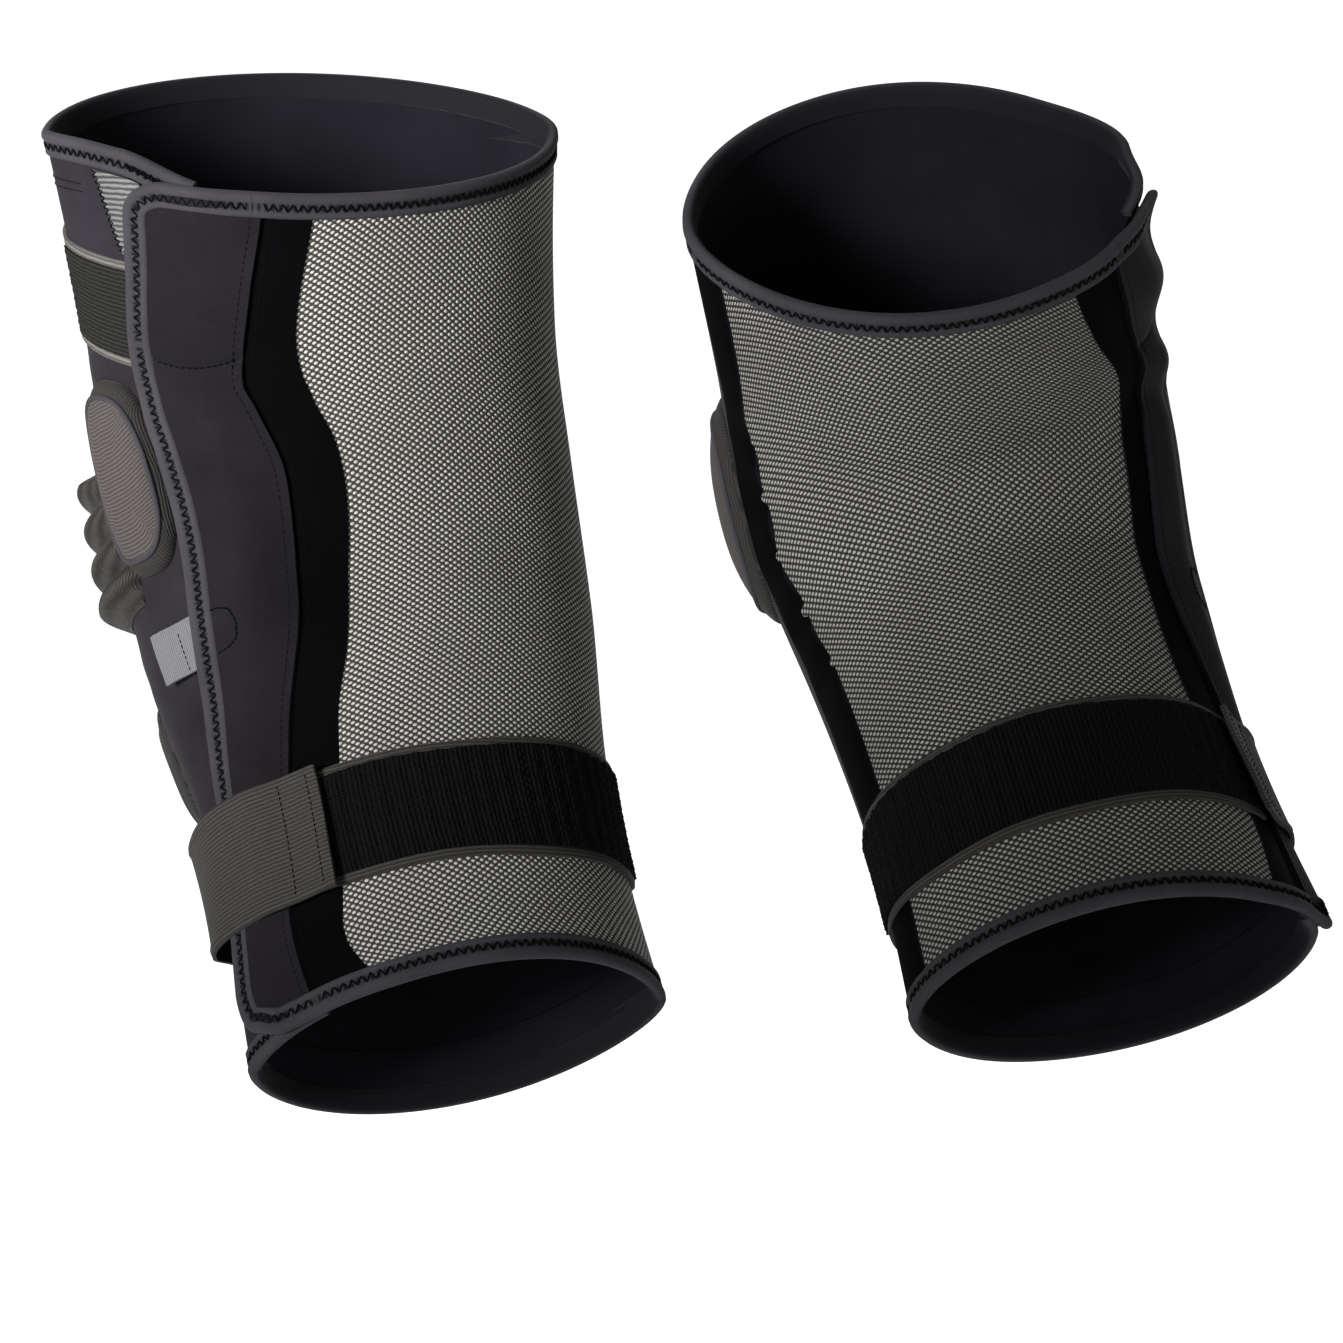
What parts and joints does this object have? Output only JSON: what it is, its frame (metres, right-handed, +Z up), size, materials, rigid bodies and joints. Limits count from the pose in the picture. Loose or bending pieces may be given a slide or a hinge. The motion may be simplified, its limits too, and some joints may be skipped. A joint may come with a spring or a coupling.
{
  "type": "pair of knee guards",
  "caption": "Left and right padded wrap-around knee guards with a mesh back, a side-opening flap and a hook-and-loop calf strap, pre-bent at the knee.",
  "frame": {"origin": "midway between the two knee centres, on the line through the middles of both sleeves at the knee", "axes": "+X to the wearer's right, +Y the way the knees point, +Z up the thighs; both guards stand as worn"},
  "size_m": [0.477, 0.2298, 0.4055],
  "materials": {
    "mesh": "light warm-grey spacer mesh over a dark ground",
    "neoprene": "matte charcoal neoprene with knit face",
    "flap_cloth": "matte charcoal knit, slightly purple",
    "binding": "folded knit binding, zigzag stitched",
    "elastic": "ribbed grey elastic webbing",
    "loop_pile": "black fuzzy loop pile",
    "hook": "black hook tape",
    "rib_strip": "white ribbed grip strip",
    "pad_cover": "taupe ribbed fabric over foam",
    "webbing": "light grey woven tab"
  },
  "bodies": {
    "left_calf": {"left_calf_mesh_panel": "mesh", "left_calf_lateral_band": "neoprene", "left_calf_front_panel": "neoprene", "left_calf_hem_binding": "binding", "left_lower_flap": "flap_cloth", "left_lower_flap_binding": "binding", "left_calf_strap_band": "elastic", "left_calf_strap_loop": "loop_pile", "left_calf_strap_root": "elastic", "left_knee_cup": "pad_cover", "left_lateral_side_pad": "pad_cover", "left_medial_side_pad": "pad_cover", "left_shin_pad": "pad_cover", "left_pull_tab": "webbing", "left_knee_rear_gusset": "mesh", "left_knee_front_gusset": "neoprene", "left_knee_flap_span": "flap_cloth"},
    "left_thigh": {"left_thigh_mesh_panel": "mesh", "left_thigh_lateral_band": "neoprene", "left_thigh_front_panel": "neoprene", "left_thigh_top_binding": "binding", "left_thigh_strap": "elastic", "left_thigh_strap_loop": "loop_pile", "left_thigh_rib_strip": "rib_strip", "left_flap_base": "flap_cloth"},
    "left_flap": {"left_upper_flap": "flap_cloth", "left_upper_flap_binding": "binding", "left_upper_flap_hook": "hook"},
    "left_strap_end": {"left_strap_end": "elastic", "left_strap_end_hook": "hook"},
    "right_calf": {"right_calf_mesh_panel": "mesh", "right_calf_lateral_band": "neoprene", "right_calf_front_panel": "neoprene", "right_calf_hem_binding": "binding", "right_lower_flap": "flap_cloth", "right_lower_flap_binding": "binding", "right_calf_strap_band": "elastic", "right_calf_strap_loop": "loop_pile", "right_calf_strap_root": "elastic", "right_knee_cup": "pad_cover", "right_lateral_side_pad": "pad_cover", "right_medial_side_pad": "pad_cover", "right_shin_pad": "pad_cover", "right_pull_tab": "webbing", "right_knee_rear_gusset": "mesh", "right_knee_front_gusset": "neoprene", "right_knee_flap_span": "flap_cloth"},
    "right_thigh": {"right_thigh_mesh_panel": "mesh", "right_thigh_lateral_band": "neoprene", "right_thigh_front_panel": "neoprene", "right_thigh_top_binding": "binding", "right_thigh_strap": "elastic", "right_thigh_strap_loop": "loop_pile", "right_thigh_rib_strip": "rib_strip", "right_flap_base": "flap_cloth"},
    "right_flap": {"right_upper_flap": "flap_cloth", "right_upper_flap_binding": "binding", "right_upper_flap_hook": "hook"},
    "right_strap_end": {"right_strap_end": "elastic", "right_strap_end_hook": "hook"}
  },
  "joints": [
    {"name": "left_knee_bend", "type": "hinge", "parent": "left_calf", "child": "left_thigh", "pos_m": [-0.11705, -0.01449, 0.01194], "axis": [0.9565, 0.2588, 0.1344], "range_deg": [-15, 55], "deforming": ["left_knee_rear_gusset", "left_knee_front_gusset", "left_knee_flap_span"]},
    {"name": "left_flap_peel", "type": "hinge", "parent": "left_thigh", "child": "left_flap", "pos_m": [-0.1762, -0.08407, 0.07685], "axis": [0.6687, -0.3991, 0.6273], "range_deg": [0, 80]},
    {"name": "left_strap_peel", "type": "hinge", "parent": "left_calf", "child": "left_strap_end", "pos_m": [-0.1595, -0.04958, -0.16037], "axis": [0.2447, -0.4065, -0.8803], "range_deg": [0, 100]},
    {"name": "right_knee_bend", "type": "hinge", "parent": "right_calf", "child": "right_thigh", "pos_m": [0.11827, -0.01496, 0.00848], "axis": [0.972, 0.0698, 0.2244], "range_deg": [-15, 30], "deforming": ["right_knee_rear_gusset", "right_knee_front_gusset", "right_knee_flap_span"]},
    {"name": "right_flap_peel", "type": "hinge", "parent": "right_thigh", "child": "right_flap", "pos_m": [0.18995, -0.05534, 0.08642], "axis": [0.2222, 0.9747, -0.0246], "range_deg": [0, 80]},
    {"name": "right_strap_peel", "type": "hinge", "parent": "right_calf", "child": "right_strap_end", "pos_m": [0.20206, -0.03565, -0.14578], "axis": [-0.238, 0.6347, 0.7352], "range_deg": [0, 100]},
    {"name": "pair_spacing", "type": "slide", "parent": "left_calf", "child": "right_calf", "axis": [1, 0, 0], "range_m": [0, 0.1]}
  ]
}
